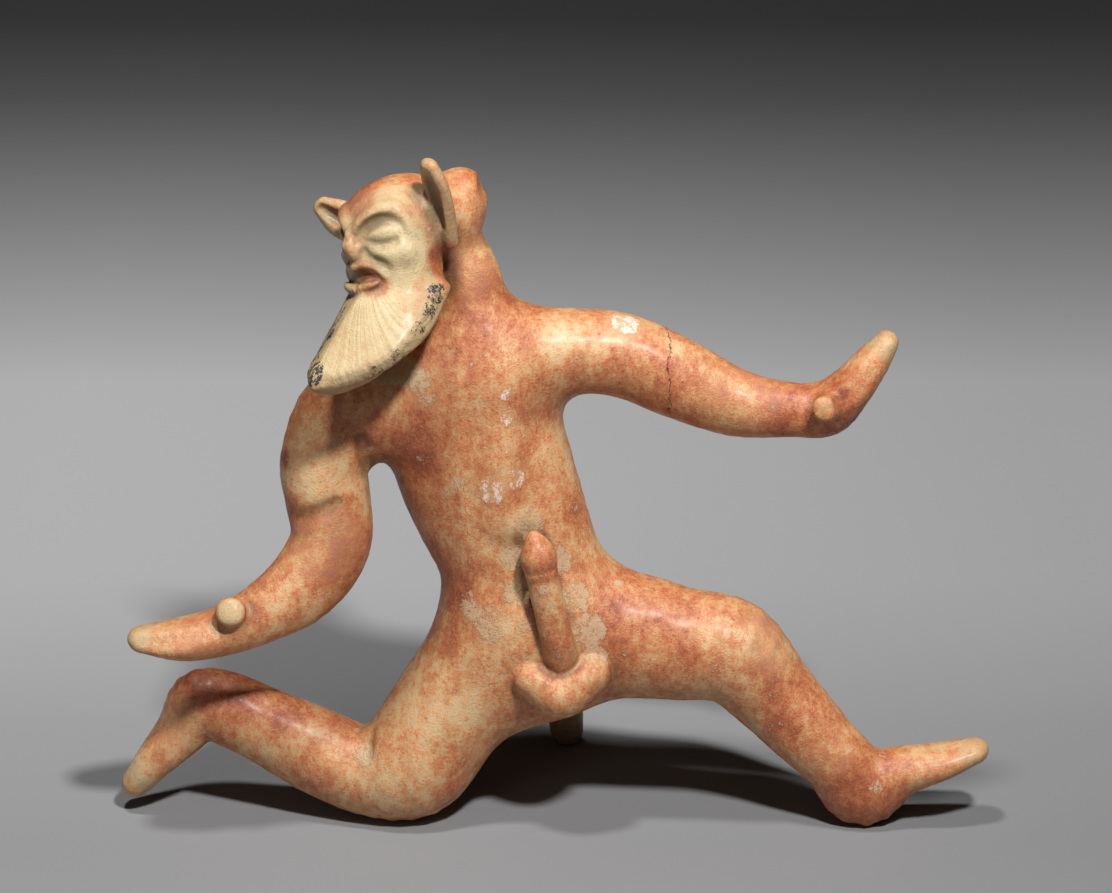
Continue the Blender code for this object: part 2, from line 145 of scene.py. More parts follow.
def smooth_table(stations):
    """The stations joined by a smooth curve through each of them."""
    rows = []
    last = len(stations) - 1
    for n in range(last):
        start, end = stations[n], stations[n + 1]
        before = stations[n - 1] if n else 2 * start - end
        after = stations[n + 2] if n + 2 <= last else 2 * end - start
        for step in range(STEPS_PER_STATION):
            t = step / STEPS_PER_STATION
            straight = (end - before) * t
            square = (2 * before - 5 * start + 4 * end - after) * t**2
            cubic = (3 * start - before - 3 * end + after) * t**3
            rows.append(0.5 * (2 * start + straight + square + cubic))
    rows.append(stations[last])
    return np.array(rows)


def body_rolls():
    """Torso, limbs and tail."""
    torso = [
        (-3.4, 5.0, 27.0, 11.8, 9.6),
        (-4.2, 5.2, 35.4, 13.2, 10.2),
        (-6.2, 5.7, 45.2, 12.8, 9.8),
        (-10.1, 6.2, 55.6, 13.9, 9.6),
        (-12.9, 6.6, 65.4, 14.0, 9.4),
        (-13.2, 7.0, 74.3, 12.4, 8.6),
    ]
    breast_ridge = [
        (-9.0, 0.4, 73.3, 2.4, 2.4),
        (-8.6, -0.9, 63.4, 2.6, 2.6),
        (-7.6, -1.1, 53.6, 2.4, 2.4),
    ]
    neck = [
        (-13.2, 7.1, 76.2, 8.3, 7.4),
        (-13.4, 7.5, 84.6, 6.1, 6.4),
        (-13.7, 7.8, 91.5, 4.9, 5.4),
        (-15.6, 8.5, 97.9, 3.5, 4.6),
        (-14.9, 9.4, 103.8, 4.3, 4.5),
    ]
    leading_arm = [
        (-8.8, 7.2, 77.6, 7.2, 7.0),
        (2.2, 7.2, 78.6, 6.8, 6.8),
        (10.9, 7.2, 77.8, 6.7, 6.4),
        (19.6, 6.0, 74.3, 6.4, 6.0),
        (28.4, 4.9, 70.8, 5.4, 5.2),
        (37.0, 2.8, 70.3, 4.3, 4.5),
        (42.6, 1.9, 70.8, 4.4, 4.5),
        (46.0, 1.0, 74.1, 3.5, 4.7),
        (49.3, 1.2, 78.4, 2.8, 3.9),
        (51.7, 1.4, 81.7, 2.0, 2.6),
    ]
    trailing_arm = [
        (-22.0, 6.0, 72.9, 8.3, 7.4),
        (-32.4, 4.8, 69.3, 8.1, 7.0),
        (-36.8, 3.4, 61.7, 7.0, 6.6),
        (-36.3, 2.2, 55.3, 6.7, 6.2),
        (-35.9, 0.9, 48.8, 6.5, 6.2),
        (-40.2, -1.4, 42.3, 6.1, 5.6),
        (-46.9, -3.6, 38.1, 4.8, 5.0),
        (-53.5, -4.7, 35.5, 3.9, 4.7),
        (-59.9, -5.8, 34.6, 3.2, 4.9),
        (-65.3, -6.8, 35.0, 2.1, 3.6),
    ]
    kneeling_leg = [
        (-7.0, 5.0, 32.0, 10.4, 9.5),
        (-12.7, 4.0, 24.6, 10.2, 9.0),
        (-18.2, 3.0, 17.1, 9.7, 8.6),
        (-23.8, 2.0, 9.7, 9.3, 8.5),
        (-30.8, 2.6, 8.1, 7.4, 7.2),
        (-39.2, 4.0, 11.1, 7.0, 6.6),
        (-47.4, 5.0, 15.0, 6.2, 5.8),
        (-54.0, 6.0, 17.7, 6.0, 5.4),
        (-57.8, 6.0, 18.3, 5.6, 5.0),
        (-60.9, 6.0, 13.9, 4.3, 4.6),
        (-65.2, 5.0, 9.3, 3.2, 4.3),
        (-68.5, 5.0, 5.2, 2.4, 3.2),
    ]
    striding_leg = [
        (0.5, 5.0, 32.4, 11.2, 9.5),
        (10.3, 4.0, 31.6, 10.5, 9.0),
        (20.0, 3.0, 30.2, 9.3, 8.5),
        (28.2, 2.0, 29.3, 8.5, 8.0),
        (34.3, 2.0, 22.8, 7.1, 6.9),
        (40.1, 1.0, 16.7, 6.4, 6.2),
        (45.3, 0.0, 11.4, 5.8, 5.6),
        (50.0, 0.0, 6.3, 6.4, 5.4),
        (55.4, 0.0, 8.9, 4.2, 4.6),
        (62.3, 0.0, 10.8, 2.8, 4.6),
        (67.5, 0.0, 12.6, 1.9, 3.4),
    ]
    tail = [
        (-1.0, 9.0, 30.0, 4.6, 4.6),
        (0.0, 16.0, 23.0, 4.2, 4.0),
        (1.0, 23.0, 14.5, 3.5, 3.3),
        (1.6, 28.5, 7.0, 3.0, 3.0),
        (1.9, 31.5, 2.8, 2.8, 2.8),
    ]
    long_rolls = (torso, neck, leading_arm, trailing_arm, kneeling_leg, striding_leg)
    rolls = [Roll(stations) for stations in long_rolls]
    rolls.insert(1, Roll(breast_ridge, smear=0.6 * SMEAR))
    rolls.append(Roll(tail, facing=(1.0, 0.0, 0.0), smear=0.5 * SMEAR))
    return rolls


def thumb_rolls():
    """The stubs of both thumbs, broken off flat, the hollows of both palms, and three deep folds."""
    near = [(-51.4, -4.6, 37.9, 2.4, 2.4), (-51.4, -9.1, 40.6, 2.3, 2.3)]
    far = [(43.6, 0.4, 71.9, 2.2, 2.2), (42.0, -6.2, 73.6, 2.0, 2.0)]
    near_palm = [
        (-56.5, -11.2, 38.6, 2.2, 2.2),
        (-61.0, -12.0, 37.0, 2.6, 2.6),
        (-65.4, -11.0, 36.6, 1.9, 1.9),
    ]
    far_palm = [(45.4, -5.4, 74.6, 2.0, 2.0), (48.0, -5.3, 77.4, 2.4, 2.4), (50.4, -4.0, 80.8, 1.8, 1.8)]
    elbow = [
        (-45.2, 1.0, 52.4, 0.9, 0.9),
        (-42.6, -1.8, 53.3, 1.0, 1.0),
        (-40.2, -3.4, 54.4, 1.1, 1.1),
        (-37.4, -4.0, 55.6, 0.9, 0.9),
        (-34.6, -3.4, 57.0, 0.5, 0.5),
    ]
    knee = [(-30.7, -0.6, 17.6, 0.8, 0.8), (-30.3, -1.9, 15.2, 0.8, 0.8), (-29.8, -3.2, 12.6, 0.5, 0.5)]
    armpit = [(-30.8, -1.6, 67.0, 0.8, 0.8), (-29.9, -0.9, 63.8, 1.2, 1.2), (-29.4, 1.0, 61.0, 1.1, 1.1)]
    stubs = [
        Roll(stations, facing=(1.0, 0.0, 0.0), power=2.2, smear=SEAM, cap=0.5) for stations in (near, far)
    ]
    palms = [Roll(stations, smear=SEAM, press=True) for stations in (near_palm, far_palm)]
    folds = [Roll(stations, smear=SEAM, press=True) for stations in (elbow, knee, armpit)]
    return stubs + palms + folds


def phallus_rolls():
    """Two applied lumps. A gap frees the upper one from the belly along its left side."""
    shaft = [
        (1.2, -4.5, 29.0, 3.0, 2.8),
        (0.4, -6.6, 33.9, 2.7, 2.6),
        (-1.0, -7.1, 40.8, 2.6, 2.6),
        (-2.1, -7.1, 45.6, 2.55, 2.55),
        (-2.35, -7.1, 46.8, 2.6, 2.6),
        (-2.5, -7.0, 47.6, 1.6, 1.6),
        (-2.65, -7.0, 48.4, 2.85, 2.85),
        (-3.0, -6.9, 50.2, 2.4, 2.4),
        (-3.5, -6.5, 52.2, 1.1, 1.1),
    ]
    pouch = [(-3.6, -4.8, 27.6, 3.2, 3.9), (0.8, -5.8, 25.4, 4.0, 4.3), (5.2, -5.0, 28.2, 3.4, 4.0)]
    gap = [(-2.2, -4.8, 31.5, 0.9, 1.2), (-4.1, -4.9, 41.0, 1.0, 1.5), (-5.3, -4.9, 47.4, 0.6, 0.9)]
    return [
        Roll(shaft, smear=0.5 * SEAM), Roll(pouch, smear=0.6 * SEAM), Roll(gap, smear=0.3 * SEAM, press=True),
    ]


# The head turns to the viewer's left and leans that way.
HEAD_CENTRE = np.array((-25.4, 2.2, 100.8))
HEAD_TURN = math.radians(50)
HEAD_LEAN = math.radians(15)
FORWARD = np.array((-math.sin(HEAD_TURN), -math.cos(HEAD_TURN), 0.0))
LEVEL = np.array((math.cos(HEAD_TURN), -math.sin(HEAD_TURN), 0.0))
UPRIGHT = np.array((0.0, 0.0, 1.0))
SIDE = LEVEL * math.cos(HEAD_LEAN) + UPRIGHT * math.sin(HEAD_LEAN)
CROWN = UPRIGHT * math.cos(HEAD_LEAN) - LEVEL * math.sin(HEAD_LEAN)
HEAD_AXES = np.array((FORWARD, SIDE, CROWN))


def head_roll(stations, facing=None, **kinds):
    """A roll whose stations are (forward, side, crown, half width, half depth) on the head."""
    placed = [tuple(HEAD_CENTRE + np.array(row[:3]) @ HEAD_AXES) + tuple(row[3:]) for row in stations]
    return Roll(placed, facing=FORWARD if facing is None else facing, **kinds)


def skull_and_beard_rolls():
    """The head's own lump, the jaw and the beard, with a scar under the near ear and the knob's broken side.

    The beard is a slab with a squared rim, and an arch lifts the middle of its front into a keel.
    """
    cranium = [(-9.0, 1.0, 0.2, 6.0, 5.4), (-3.5, 0.0, 1.2, 7.9, 6.5), (0.4, 0.0, 1.1, 7.8, 6.4)]
    jaw = [(0.6, 0.0, 0.0, 7.9, 7.1), (0.8, 0.0, -5.5, 7.8, 7.3), (0.6, 0.0, -10.0, 7.4, 6.6)]
    slab = [
        (-0.6, 0.0, -9.2, 8.5, 1.9),
        (4.6, 0.1, -14.2, 9.0, 2.2),
        (9.4, 0.1, -17.1, 8.1, 2.1),
        (13.6, 0.0, -19.2, 6.1, 1.9),
        (17.6, 0.0, -20.3, 3.4, 1.5),
    ]
    arch = [
        (1.5, 0.6, -9.4, 8.2, 5.6),
        (5.3, 0.6, -12.8, 8.6, 5.8),
        (10.3, 0.2, -17.1, 7.7, 5.5),
        (14.5, -0.2, -19.4, 5.7, 4.2),
        (17.7, -0.2, -20.5, 3.1, 2.8),
    ]
    scar = [(-1.0, 8.9, -5.2, 1.4, 1.4), (-3.4, 7.9, -5.9, 1.7, 1.6), (-6.0, 7.0, -6.6, 1.3, 1.4)]
    knob_break = [(-6.9, 3.0, 106.6, 5.5, 5.5), (-6.7, 13.0, 107.2, 5.5, 5.5)]
    beard_facing = CROWN + 0.16 * SIDE
    return [
        head_roll(cranium, facing=CROWN, smear=0.5 * SMEAR),
        head_roll(jaw, smear=0.3 * SMEAR, cap=0.35),
        head_roll(slab, facing=beard_facing, power=3.4, smear=SEAM, cap=0.4),
        head_roll(arch, facing=beard_facing, power=1.35, smear=SEAM),
        head_roll(scar, smear=0.7 * SEAM, press=True),
        Roll(knob_break, smear=0.3 * SEAM, press=True),
    ]


def half_face_rolls(side):
    """One side's brow, eye mound and cheek, the hollows round them, nostril wing and half moustache."""
    outer = FORWARD + 0.87 * side * SIDE
    brow = [
        (7.6, 0.9 * side, 0.9, 0.9, 0.9),
        (6.9, 2.1 * side, 1.9, 1.2, 1.2),
        (5.8, 3.6 * side, 2.9, 1.4, 1.4),
        (4.3, 5.2 * side, 3.3, 1.4, 1.4),
        (3.1, 6.5 * side, 2.6, 1.2, 1.2),
        (2.6, 7.1 * side, 0.8, 0.9, 0.9),
        (2.2, 7.4 * side, -0.7, 0.5, 0.5),
    ]
    socket = [
        (8.4, 1.8 * side, -0.3, 0.6, 0.6),
        (7.9, 2.8 * side, 0.7, 0.9, 0.9),
        (7.2, 4.2 * side, 1.5, 1.1, 1.1),
        (5.8, 6.1 * side, 1.9, 1.1, 1.1),
        (4.5, 7.5 * side, 1.0, 0.8, 0.8),
        (4.0, 8.0 * side, -0.6, 0.5, 0.5),
    ]
    eye = [
        (5.9, 3.9 * side, -0.3, 1.2, 1.0),
        (5.0, 5.0 * side, -0.1, 1.6, 1.3),
        (4.0, 6.0 * side, -0.2, 1.2, 1.1),
    ]
    under_eye = [
        (8.2, 2.6 * side, -0.9, 0.5, 0.5),
        (6.9, 4.9 * side, -1.8, 0.5, 0.5),
        (5.2, 7.0 * side, -1.7, 0.4, 0.4),
    ]
    cheek = [(4.6, 4.2 * side, -3.2, 2.2, 2.4), (3.2, 5.8 * side, -3.4, 2.2, 2.3)]
    wing = [(7.8, 1.1 * side, -2.2, 0.7, 0.8), (7.5, 1.4 * side, -2.9, 0.6, 0.7)]
    moustache = [
        (8.4, 0.0, -4.7, 0.6, 0.6),
        (8.0, 1.7 * side, -4.5, 0.6, 0.6),
        (7.2, 3.3 * side, -4.8, 0.6, 0.6),
        (6.8, 4.2 * side, -5.7, 0.5, 0.5),
        (6.5, 4.7 * side, -6.7, 0.35, 0.35),
    ]
    cheek_fold = [
        (8.0, 2.2 * side, -2.6, 0.5, 0.5),
        (7.7, 3.1 * side, -3.7, 0.5, 0.5),
        (6.9, 4.9 * side, -4.7, 0.5, 0.5),
        (6.5, 5.9 * side, -6.4, 0.5, 0.5),
        (6.9, 6.0 * side, -8.0, 0.4, 0.4),
    ]
    return [
        head_roll(brow, smear=0.8 * SEAM),
        head_roll(socket, smear=0.5 * SEAM, press=True),
        head_roll(cheek, facing=outer, smear=SEAM),
        head_roll(eye, facing=outer, smear=0.4 * SEAM),
        head_roll(under_eye, smear=0.8 * SEAM, press=True),
        head_roll(wing, smear=0.5 * SEAM),
        head_roll(moustache, smear=0.6 * SEAM),
        head_roll(cheek_fold, smear=0.9 * SEAM, press=True),
    ]


def face_rolls():
    """Both halves of the face, a snub nose with a chipped tip, the open mouth and the lip."""
    nose = [
        (7.8, 0.0, 0.7, 0.7, 0.8),
        (8.2, 0.0, -0.3, 0.8, 1.2),
        (8.3, 0.0, -1.4, 1.1, 1.6),
        (8.1, 0.0, -2.4, 1.3, 1.3),
        (7.9, 0.0, -3.1, 1.1, 0.9),
    ]
    nose_chip = [(11.0, -1.2, 0.6, 1.9, 1.9), (11.1, 1.4, 0.2, 1.9, 1.9)]
    mouth = [
        (8.2, -3.4, -6.5, 0.3, 0.4),
        (8.8, -1.6, -6.3, 0.65, 0.9),
        (8.9, 0.0, -6.3, 0.75, 1.1),
        (8.6, 1.4, -6.2, 0.7, 1.0),
        (8.1, 2.7, -6.4, 0.5, 0.7),
        (7.7, 3.6, -6.7, 0.3, 0.3),
    ]
    lower_lip = [
        (7.8, -3.8, -7.7, 0.5, 0.5),
        (8.7, -2.0, -8.0, 0.7, 0.7),
        (9.1, 0.0, -8.1, 0.8, 0.8),
        (8.8, 1.7, -7.9, 0.7, 0.7),
        (8.2, 3.0, -7.7, 0.55, 0.55),
        (7.6, 3.8, -7.5, 0.35, 0.35),
    ]
    return half_face_rolls(-1.0) + half_face_rolls(1.0) + [
        head_roll(nose, smear=0.4 * SEAM, power=2.8),
        head_roll(nose_chip, smear=0.15 * SEAM, press=True),
        head_roll(mouth, smear=0.25 * SEAM, press=True),
        head_roll(lower_lip, smear=0.5 * SEAM),
    ]


def ear_rolls():
    """Pricked animal ears, each a folded leaf with a hollow pressed into its front."""
    near_leaf = [
        (-5.2, 7.2, -3.6, 1.1, 1.2),
        (-4.2, 8.4, -0.5, 1.6, 1.4),
        (-3.2, 9.2, 3.0, 2.5, 1.5),
        (-1.9, 10.2, 6.4, 2.8, 1.5),
        (-0.8, 11.1, 8.8, 1.8, 1.2),
    ]
    near_hollow = [
        (-2.6, 8.6, -0.8, 0.5, 1.0),
        (-1.6, 9.2, 1.8, 1.1, 1.6),
        (-0.4, 10.2, 5.0, 1.4, 1.6),
        (0.6, 10.9, 7.4, 0.9, 1.0),
    ]
    far_leaf = [
        (-3.4, -7.8, -2.0, 2.4, 1.4),
        (-0.8, -10.4, 0.2, 3.1, 1.5),
        (1.0, -12.5, 2.0, 3.1, 1.4),
        (2.4, -14.2, 4.0, 1.9, 1.1),
    ]
    far_hollow = [
        (0.0, -9.3, -0.2, 1.1, 1.3),
        (2.0, -11.4, 1.8, 1.3, 1.4),
        (3.4, -13.4, 3.8, 0.8, 0.9),
    ]
    inward = FORWARD + 0.4 * SIDE
    return [
        head_roll(near_leaf, smear=SEAM),
        head_roll(near_hollow, smear=0.5 * SEAM, press=True),
        head_roll(far_leaf, facing=inward, smear=SEAM),
        head_roll(far_hollow, facing=inward, smear=0.5 * SEAM, press=True),
    ]


def all_rolls():
    """Every roll, in the order in which it is smeared on."""
    rolls = body_rolls() + skull_and_beard_rolls() + face_rolls() + ear_rolls()
    return rolls + thumb_rolls() + phallus_rolls()


def clay(rolls, points):
    """How far points are outside all the rolls together, and the outward direction."""
    total = np.full(len(points), FAR)
    outward = np.zeros_like(points)
    for roll in rolls:
        near = roll.touched
        if not len(near):
            continue
        sign = -1.0 if roll.press else 1.0
        value, direction = roll.nearness(points)
        share = np.clip(0.5 + 0.5 * (sign * total[near] - value) / roll.smear, 0.0, 1.0)
        joined = sign * (value - roll.smear * (1 - share)) * share
        total[near] = total[near] * (1 - share) + joined
        outward[near] = outward[near] * (1 - share)[:, None] + sign * direction * share[:, None]
    return total, outward


# Where the surface differs, as soft spots: x, y, z, reach in millimetres, and strength.
# Those on the head are measured forwards, sideways and towards its crown.

# Both ears.
BUFF_ON_HEAD = (
    (-3.6, 9.0, -0.5, 5.5, 1.0), (-2.2, 10.0, 5.0, 6.0, 1.0), (-0.6, 11.0, 8.5, 5.0, 1.0),
    (-1.0, -10.0, 0.2, 5.0, 1.0), (1.0, -12.5, 2.0, 6.0, 1.0), (2.6, -14.2, 4.0, 5.0, 1.0),
)
# Knob, nape and tail, then the ends of hands, feet and thumbs.
BUFF_PLACES = (
    (-14.0, -3.0, 107.0, 9.0, 0.3), (-14.0, -4.0, 93.0, 8.0, 0.2), (2.0, 17.0, 8.0, 26.0, 1.0),
    (-50.9, -19.4, 41.3, 3.0, 1.3), (-69.1, -6.3, 4.0, 7.0, 0.62), (69.4, -10.5, 13.4, 6.0, 0.45),
    (52.8, -8.2, 83.5, 6.0, 0.55), (-67.2, -16.0, 35.8, 6.0, 0.55), (42.0, -15.4, 74.4, 2.6, 0.45),
)
# Flakes along the beard's near rim, its keel, its tip and its far side.
PAINT_ON_HEAD = (
    (0.2, 9.0, -10.6, 3.2, 1.0), (2.6, 9.2, -13.0, 2.6, 0.95), (5.2, 9.2, -15.4, 2.4, 0.92),
    (9.2, 8.2, -19.0, 2.6, 0.9), (12.8, 6.4, -20.6, 2.6, 0.92),
    (10.0, -1.6, -11.2, 2.2, 0.95), (12.0, -1.6, -12.6, 2.4, 1.0), (14.0, -1.5, -14.4, 2.4, 1.0),
    (20.0, -0.4, -19.0, 4.0, 1.0), (18.0, -3.0, -17.8, 3.6, 0.95), (17.5, 1.0, -20.6, 3.0, 0.9),
    (12.7, -4.8, -13.3, 3.4, 1.0), (14.8, -4.4, -15.2, 3.4, 1.0), (10.6, -4.6, -11.6, 3.0, 0.95),
    (14.0, -6.0, -16.4, 3.4, 0.95), (10.0, -7.4, -13.6, 3.2, 0.9),
)
# Forehead, mouth, temple and the scar under the near ear.
RED_ON_HEAD = (
    (4.0, -3.0, 5.5, 6.0, 1.0), (5.5, 0.5, 4.8, 3.8, 0.7), (8.0, 2.4, -6.6, 3.2, 0.9),
    (7.6, 3.6, -8.0, 2.6, 1.0), (1.0, 8.0, 2.0, 3.0, 0.5), (-3.0, 7.6, -6.0, 4.0, 1.2),
)
# Chest and waist, neck and knob, both arms, both legs, and small spots.
RED_PLACES = (
    (-24.2, -9.7, 66.4, 9.0, 0.7), (-17.0, -6.0, 52.0, 10.0, 0.5), (-13.0, -12.0, 40.0, 8.0, 0.5),
    (-17.0, -8.0, 84.0, 8.0, 0.5), (-7.0, -8.0, 87.0, 9.0, 0.5), (-15.0, -4.0, 108.0, 6.0, 0.5),
    (-10.9, -0.8, 108.0, 5.0, 0.8), (13.7, -8.0, 75.0, 9.0, 0.6), (40.0, -10.5, 69.0, 9.0, 1.1),
    (46.0, -11.0, 73.0, 7.0, 0.9), (-41.0, -12.0, 53.0, 6.0, 0.6), (-33.0, -13.0, 44.0, 8.0, 0.6),
    (-54.0, -3.0, 23.5, 10.0, 1.0), (-45.7, -6.8, 20.0, 8.0, 0.7), (15.4, -12.0, 37.0, 12.0, 0.7),
    (50.0, -14.0, 4.0, 10.0, 1.0), (58.0, -10.0, 12.0, 8.0, 0.35), (40.0, -13.0, 21.0, 8.0, 0.4),
    (45.3, -12.5, 75.2, 2.0, 2.0), (-42.6, -7.6, 62.6, 2.4, 2.2), (-2.9, -15.5, 50.5, 3.2, 0.9),
)
# Beard, breast, belly and flank, then arms and legs.
TAN_PLACES = (
    (-31.0, -19.0, 88.0, 12.0, 0.4), (-24.0, -15.0, 99.5, 6.5, 0.9), (-11.6, -11.8, 50.4, 10.0, 0.25),
    (2.6, -3.4, 62.0, 9.0, 0.5), (3.0, -7.0, 82.0, 7.0, 0.6), (-38.0, -11.0, 62.0, 8.0, 0.6),
    (-19.0, -12.0, 22.0, 12.0, 0.8), (-25.0, -15.0, 10.0, 10.0, 0.7), (-64.0, -6.0, 12.0, 8.0, 0.9),
    (28.0, -12.0, 36.0, 8.0, 0.4), (64.0, -10.0, 12.0, 6.0, 0.15),
)
# A pale bloom on the arms, the legs, the neck and the chest.
HAZE_PLACES = (
    (29.5, -8.6, 72.6, 10.0, 0.7), (34.8, -11.0, 33.0, 8.0, 0.9), (-36.0, -13.0, 50.0, 9.0, 0.9),
    (-57.5, -16.0, 37.7, 9.0, 0.7), (44.0, -13.0, 14.0, 7.0, 0.6), (11.5, -4.0, 84.0, 5.0, 1.0),
    (61.0, -11.0, 12.7, 8.0, 0.6), (-61.0, -5.0, 17.0, 7.0, 0.8), (-14.0, -5.0, 92.0, 9.0, 0.7),
    (-20.0, -10.0, 76.0, 6.0, 0.6), (-38.0, -10.0, 66.0, 7.0, 0.6),
)
# Sandy crust on the chest, round the applied lumps, in the groin and behind the knee.
CRUST_PLACES = (
    (-16.7, -10.8, 58.1, 1.5, 1.1), (-14.9, -11.3, 59.8, 1.9, 1.1),
    (-20.9, -10.4, 76.7, 2.8, 0.95), (-19.6, -10.4, 73.6, 2.2, 0.85),
    (-4.0, -11.8, 53.6, 3.6, 1.0), (-6.6, -12.0, 47.5, 3.0, 1.05), (-5.6, -12.4, 41.5, 3.2, 1.0),
    (-4.4, -13.0, 36.2, 3.2, 1.0), (1.6, -12.0, 47.0, 3.2, 0.9), (3.8, -13.0, 41.0, 3.6, 1.0),
    (5.4, -13.5, 35.5, 4.0, 1.0), (1.6, -14.0, 33.2, 4.0, 1.1), (6.4, -14.0, 30.5, 3.4, 1.0),
    (-9.3, -13.8, 36.7, 4.6, 0.9), (-13.6, -12.8, 38.6, 3.4, 0.9), (-30.3, -11.7, 13.1, 2.6, 1.1),
    (-1.4, -18.3, 44.4, 1.2, 1.3), (0.0, -18.2, 41.7, 1.0, 1.3), (10.4, -8.3, 41.5, 0.9, 2.0),
    (52.0, -13.0, 8.0, 2.0, 0.9), (34.0, -8.0, 66.4, 1.4, 1.1), (-28.8, -9.4, 63.4, 2.2, 0.9),
)
# A painted near-white highlight on the breast ridge, the belly and the raised shoulder, where the clay is
# also made glossier.
PAINTED_HIGHLIGHT_PLACES = (
    (-7.3, -11.5, 75.0, 2.4, 0.9), (-6.9, -12.0, 71.0, 2.4, 1.0), (-6.5, -12.2, 66.0, 2.2, 0.9),
    (-6.1, -12.3, 61.0, 3.0, 0.9), (-9.4, -12.6, 59.3, 3.6, 1.0), (11.5, -3.7, 84.0, 3.6, 1.1),
)
# The end of the tail, darkened with the same brown that paints shade into the seams.
DARK_TAIL_END = ((2.2, 19.5, 4.5, 9.0, 0.75),)
# The mended break across the leading arm, in millimetres: how far along X it lies, how wide its broad
# and its small bends are, and how far from its middle it is still full and has ended.
ARM_CRACK = 18.4
CRACK_BENDS = (3.2, 2.0)
CRACK_CORE, CRACK_EDGE = 0.04, 0.12
CRACK_PLACES = ((ARM_CRACK, -6.0, 76.0, 12.0, 1.0),)
# The share of the painted shade in a seam that the crust hides.
CRUST_OVER_SEAM_SHADE = 0.6

# Where the skin is cut finer, in the rolls' own millimetres.
HEAD_BACK, HEAD_LOWEST, HEAD_HALF_WIDTH, SHOULDER_HEIGHT = -8.0, -24.0, 16.0, 78.0
LUMPS_HALF_WIDTH, LUMPS_BACK, LUMPS_MIDDLE, LUMPS_HALF_HEIGHT = 9.0, -3.0, 38.0, 17.0
STUB_MIDDLES = ((-51.4, -7.0, 39.4), (42.6, -3.5, 73.0))
STUB_REACH = 8.0

# Hollows are felt for at these distances off the skin, in millimetres.
FEELERS = (0.7, 2.2)
# The clay has closed in by this share where a hollow starts, and by the span more where it is full.
HOLLOW_START, HOLLOW_SPAN = 0.12, 0.5
# Where rolls meet, the outward direction grows by no more than one over this.
LEAST_OUTWARD = 0.3

# The bare face and beard: where they start on the head and over how much they fade in, where they end
# towards the crown and the sides, and the lowest height and the last X that they reach.
FACE_START, FACE_FADE, FACE_TOP = -1.8, 2.6, 6.5
FACE_HALF_WIDTH, FACE_SIDE_FADE = 15.0, 2.0
FACE_LOWEST, FACE_LAST_X = 76.0, -12.0
# The share of slip that is left above the brows, and where it sets in.
BROW_SLIP, BROW_SLIP_START, BROW_SLIP_FADE = 0.35, 2.0, 3.0

# The furrows of the combed beard, counted over one radian of the fan that they form under the lip.
FURROWS = 26.0
LIP_HEIGHT, LIP_FRONT = -7.0, 7.0
FAN_START, HAIR_FADE = 3.0, 4.0

# The marks on the skin: a name, a size in millimetres, and a share of the depth of the finger marks.
MARKS = (("dents", 9.0, 1.0), ("rubbing", 2.6, 0.3))


# Mesh work


def read_points(mesh):
    points = np.empty(len(mesh.vertices) * 3, np.float32)
    mesh.vertices.foreach_get("co", points)
    return points.reshape(-1, 3).astype(float) / MM


def write_points(mesh, points):
    mesh.vertices.foreach_set("co", (points * MM).astype(np.float32).ravel())
    mesh.update()


def neighbours(mesh):
    """Both ends of every edge, each way round, and how many edges each point has."""
    edges = np.empty(len(mesh.edges) * 2, np.int32)
    mesh.edges.foreach_get("vertices", edges)
    ends = np.concatenate((edges[0::2], edges[1::2]))
    others = np.concatenate((edges[1::2], edges[0::2]))
    return ends, others, np.bincount(ends, minlength=len(mesh.vertices))[:, None]


def onto_clay(points, value, outward):
    """Moves points towards the clay, and says how steep it was there."""
    steep = np.maximum((outward**2).sum(1), LEAST_SLOPE)[:, None]
    return points - np.clip(value[:, None] / steep, -LONGEST_MOVE, LONGEST_MOVE) * outward, steep


def run_together(mesh, rolls, rounds):
    """Moves the skin onto the clay, evening it out along itself after each move."""
    points = read_points(mesh) - TO_ROW
    for roll in rolls:
        roll.gather(points)
    ends, others, count = neighbours(mesh)
    value, outward = clay(rolls, points)
    for _ in range(rounds):
        points, steep = onto_clay(points, value, outward)
        mean = np.stack([np.bincount(ends, points[others, n]) for n in range(3)], 1) / count
        pull = mean - points
        pull -= outward * ((pull * outward).sum(1)[:, None] / steep)
        points = points + EVENING * pull
        value, outward = clay(rolls, points)
    points, _ = onto_clay(points, value, outward)
    write_points(mesh, points + TO_ROW)
    return points, outward


def only(piece):
    """Makes a piece the one that is selected and active."""
    bpy.ops.object.select_all(action="DESELECT")
    bpy.context.view_layer.objects.active = piece
    piece.select_set(True)


def apply_modifier(piece, kind, **settings):
    only(piece)
    modifier = piece.modifiers.new(kind.lower(), kind)
    for name, value in settings.items():
        setattr(modifier, name, value)
    bpy.ops.object.modifier_apply(modifier=modifier.name)


def finer_where(piece, chosen):
    """Cuts each face in four where every corner of it is among the chosen points."""
    only(piece)
    bpy.ops.object.mode_set(mode="EDIT")
    bpy.ops.mesh.select_mode(type="VERT")
    bpy.ops.mesh.select_all(action="DESELECT")
    bpy.ops.object.mode_set(mode="OBJECT")
    piece.data.vertices.foreach_set("select", chosen)
    bpy.ops.object.mode_set(mode="EDIT")
    bpy.ops.mesh.select_mode(type="FACE")
    bpy.ops.mesh.subdivide(number_cuts=1, ngon=False)
    bpy.ops.mesh.select_all(action="DESELECT")
    bpy.ops.object.mode_set(mode="OBJECT")


def within(points, spots):
    """How much each point lies in soft round spots. The inner half of each has its full strength."""
    level = np.zeros(len(points))
    for x, y, z, reach, strength in spots:
        near = 1.0 - np.sqrt(((points - (x, y, z)) ** 2).sum(1)) / reach
        near = np.clip(near * 2.0, 0.0, 1.0)
        level = np.maximum(level, strength * near * near * (3.0 - 2.0 * near))
    return level


def seen_on_head(points):
    """The points measured forwards, sideways and towards the crown from the head's middle."""
    return (points - HEAD_CENTRE) @ HEAD_AXES.T


